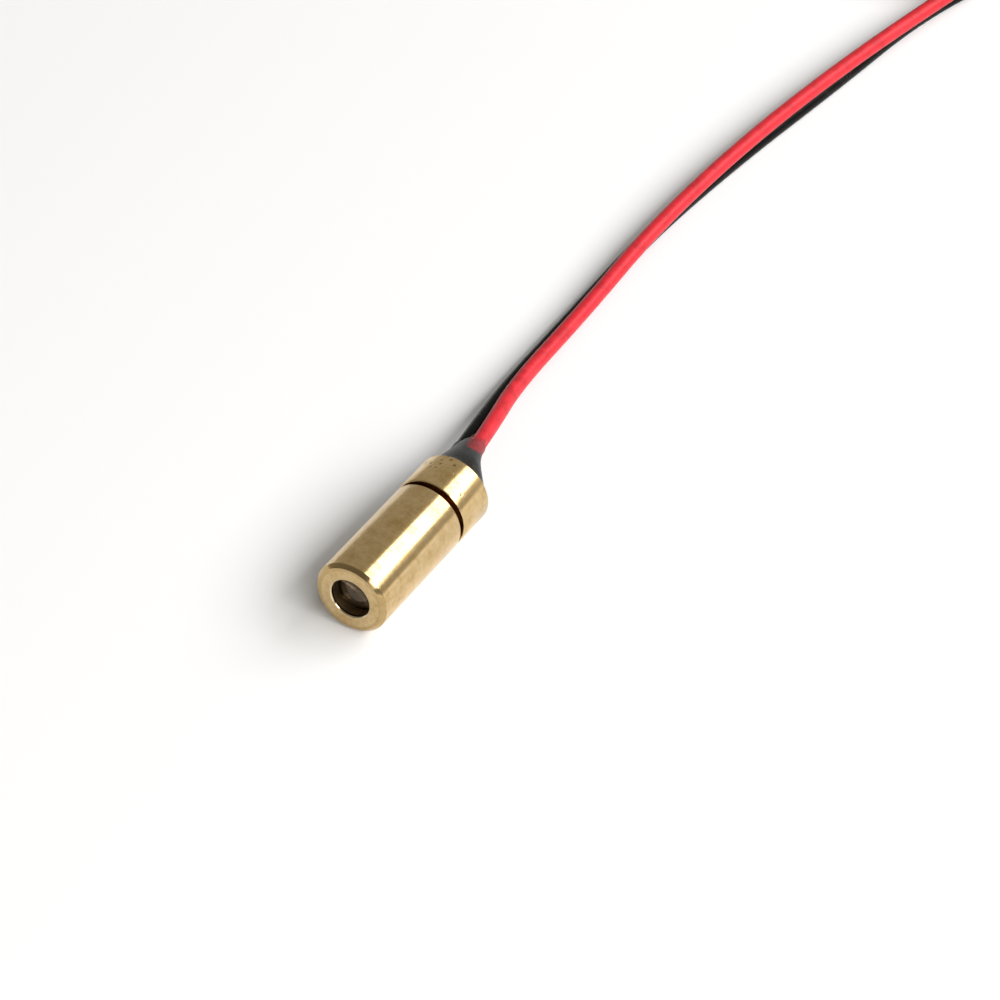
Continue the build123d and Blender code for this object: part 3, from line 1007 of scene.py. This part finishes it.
dress(tinned, "red_lead_core", "black_lead_core", "red_lead_tip", "black_lead_tip")
dress(potting_resin, "potting")
dress(nylon, "lead_tie")
dress(red_sheath, "red_lead", "lead_coil")
dress(black_sheath, "black_lead")

# The floor, which glows in the distance so that it is as white as the backdrop
floor_half = 1.0
floor_glow = 0.03
glow_from, glow_to = 0.07, 0.17
floor_mesh = bpy.data.meshes.new("table")
shape = bmesh.new()
bmesh.ops.create_grid(shape, x_segments=1, y_segments=1, size=floor_half)
bmesh.ops.translate(shape, verts=shape.verts, vec=(0, 0, floor_z))
shape.to_mesh(floor_mesh)
shape.free()
table = bpy.data.objects.new("table", floor_mesh)
scene.collection.objects.link(table)
table_top, tree, shader, point = new_material("white_table")
set_shader(shader, Base_Color=(0.86, 0.86, 0.86), Roughness=0.8, Specular_IOR_Level=0.1)
seen = add(tree, "LightPath").outputs
shown = math_node(tree, "MAXIMUM", seen["Is Camera Ray"], seen["Is Glossy Ray"])
shown = math_node(tree, "MAXIMUM", shown, seen["Is Transmission Ray"])
object_middle = tuple((cad_box[0] + cad_box[1]) / 2)
far_off = add(tree, "VectorMath", {0: point, 1: object_middle}, operation="DISTANCE").outputs["Value"]
glow = remap(tree, far_off, glow_from, glow_to, floor_glow, 1.0)
tree.links.new(math_node(tree, "MULTIPLY", shown, glow), shader.inputs["Emission Strength"])
set_shader(shader, Emission_Color=(1.0, 1.0, 1.0))
floor_mesh.materials.append(table_top)


def soft_box(name, low_angle, high_angle, near, far, brightness):
    """A soft lamp parallel to the Y axis, between two angles over the floor and two places along Y."""
    half = math.radians(high_angle - low_angle) / 2
    angle = math.radians(low_angle + high_angle) / 2
    facing = Vector((math.cos(angle), 0, math.sin(angle)))
    lamp = bpy.data.lights.new(name, "AREA")
    lamp.shape = "RECTANGLE"
    lamp.size = far - near
    lamp.size_y = 2 * lamp_distance * math.tan(half)
    lamp.energy = brightness * math.pi * lamp.size * lamp.size_y
    box = bpy.data.objects.new(name, lamp)
    scene.collection.objects.link(box)
    box.location = facing * lamp_distance + Vector((0, (near + far) / 2, 0))
    level = Vector((0, 1, 0))
    box.rotation_mode = "QUATERNION"
    box.rotation_quaternion = Matrix((level, facing.cross(level), facing)).transposed().to_quaternion()


# The room is dim and warm, and brighter behind the body than in front of it. The camera sees it white.
lamp_distance = 0.5
room_mirrored_in_front, room_mirrored_behind = 0.2, 0.46
room_light = 0.14
room_colour = (1.0, 0.94, 0.82)
soft_box("side_light", 24, 52, -0.55, 0.25, 7.4)
soft_box("rear_light", 30.5, 75, 0.25, 0.75, 4.6)
world = bpy.data.worlds.new("studio")
world.use_nodes = True
tree = world.node_tree
seen = add(tree, "LightPath").outputs
behind = add(tree, "SeparateXYZ", {"Vector": add(tree, "TexCoord").outputs["Generated"]}).outputs["Y"]
mirrored = remap(tree, behind, -0.7, 0.7, room_mirrored_in_front, room_mirrored_behind)
glossy_part = math_node(tree, "MULTIPLY", seen["Is Glossy Ray"], mirrored)
diffuse_part = math_node(tree, "MULTIPLY", seen["Is Diffuse Ray"], room_light)
room = math_node(tree, "ADD", glossy_part, diffuse_part)
backdrop = math_node(tree, "MAXIMUM", seen["Is Camera Ray"], seen["Is Transmission Ray"])
background = tree.nodes["Background"]
tree.links.new(math_node(tree, "MAXIMUM", room, backdrop), background.inputs["Strength"])
tree.links.new(mixed(tree, backdrop, room_colour, (1.0, 1.0, 1.0)), background.inputs["Color"])
scene.world = world
scene.view_settings.view_transform = "Standard"
